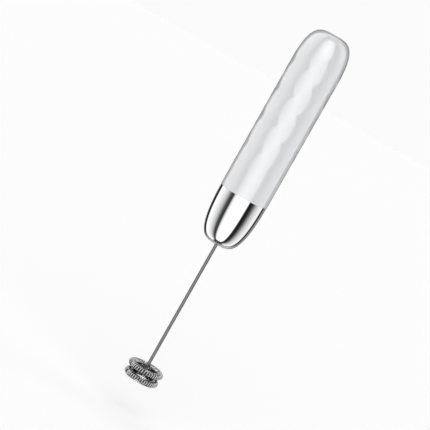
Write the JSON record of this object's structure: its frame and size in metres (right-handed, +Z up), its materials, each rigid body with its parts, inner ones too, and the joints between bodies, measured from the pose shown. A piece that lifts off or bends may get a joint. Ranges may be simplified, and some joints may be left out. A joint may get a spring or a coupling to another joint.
{
  "type": "milk frother",
  "caption": "Slim hand-held electric milk frother: round white handle with a top button, polished nose cone, thin rod and a whisk of stacked coiled rings.",
  "frame": {"origin": "on the tool's axis at the seam between the handle and the nose cone, where the straight grip begins", "axes": "+Z up the tool's axis from the whisk to the button, +Y towards the back with the charging port, +X to the right seen from the front"},
  "size_m": [0.031, 0.031, 0.2354],
  "materials": {
    "white_shell": "glossy white, soft diamond facets",
    "white_rubber": "satin white silicone",
    "mirror_chrome": "mirror chrome",
    "rod_steel": "drawn and polished stainless steel",
    "wire_steel": "drawn stainless wire",
    "coil_steel": "bright drawn spring wire",
    "black_rubber": "matt moulded rubber",
    "ivory_plastic": "moulded acetal",
    "frame_plastic": "light grey moulded plastic",
    "black_plastic": "matt black moulded plastic",
    "plated_steel": "zinc or nickel plated steel",
    "bush_brass": "plain brass",
    "copper": null,
    "dark_iron": "dark iron and ferrite",
    "lead_insulation": "red wire insulation",
    "cell_wrap": "blue shrink wrap",
    "circuit_board": "green solder mask on glass fibre",
    "lamp_clear": "clear moulded plastic"
  },
  "bodies": {
    "handle": {"handle_sleeve": "white_shell", "nose_cone": "mirror_chrome", "nose_o_ring": "black_rubber", "rod_bush": "ivory_plastic", "rod_seal": "black_rubber", "seal_retainer": "plated_steel", "core_frame": "frame_plastic", "motor_damper": "black_rubber", "motor_screws": "plated_steel", "motor_can": "plated_steel", "motor_end_cap": "ivory_plastic", "front_bush": "bush_brass", "rear_bush": "bush_brass", "magnets": "dark_iron", "brushes": "copper", "motor_terminals": "bush_brass", "motor_leads": "lead_insulation", "battery_cell": "plated_steel", "battery_wrap": "cell_wrap", "battery_tabs": "plated_steel", "main_board": "circuit_board", "board_components": "black_plastic", "board_screws": "plated_steel", "charging_socket": "plated_steel", "socket_tongue": "black_plastic", "charge_lamp": "lamp_clear", "light_pipe": "lamp_clear", "switch_board": "circuit_board", "switch_screws": "plated_steel", "switch_body": "black_plastic", "switch_leads": "lead_insulation", "return_spring": "coil_steel"},
    "button": {"button_cap": "white_shell", "switch_plunger": "black_plastic"},
    "cover": {"port_cover": "white_rubber"},
    "drive": {"motor_shaft": "rod_steel", "rotor_core": "dark_iron", "windings": "copper", "commutator": "copper", "thrust_washer": "ivory_plastic", "drive_coupling": "ivory_plastic", "grip_ring": "black_rubber"},
    "whisk": {"whisk_rod": "rod_steel", "whisk_hub": "rod_steel", "spoke_wire": "wire_steel", "upper_ring_wire": "wire_steel", "lower_ring_wire": "wire_steel", "ring_posts": "wire_steel", "upper_coil": "coil_steel", "lower_coil": "coil_steel"}
  },
  "joints": [
    {"name": "button_press", "type": "slide", "parent": "handle", "child": "button", "axis": [0, 0, -1], "range_m": [0, 0.0008], "stiffness_N_per_m": 800, "springref_m": -0.0008, "deforming": ["return_spring"]},
    {"name": "cover_pull", "type": "slide", "parent": "handle", "child": "cover", "axis": [0, 1, 0], "range_m": [0, 0.004]},
    {"name": "drive_spin", "type": "hinge", "parent": "handle", "child": "drive", "pos_m": [0, 0, 0], "axis": [0, 0, 1], "continuous": true},
    {"name": "whisk_pull", "type": "slide", "parent": "drive", "child": "whisk", "axis": [0, 0, -1], "range_m": [0, 0.02]}
  ]
}
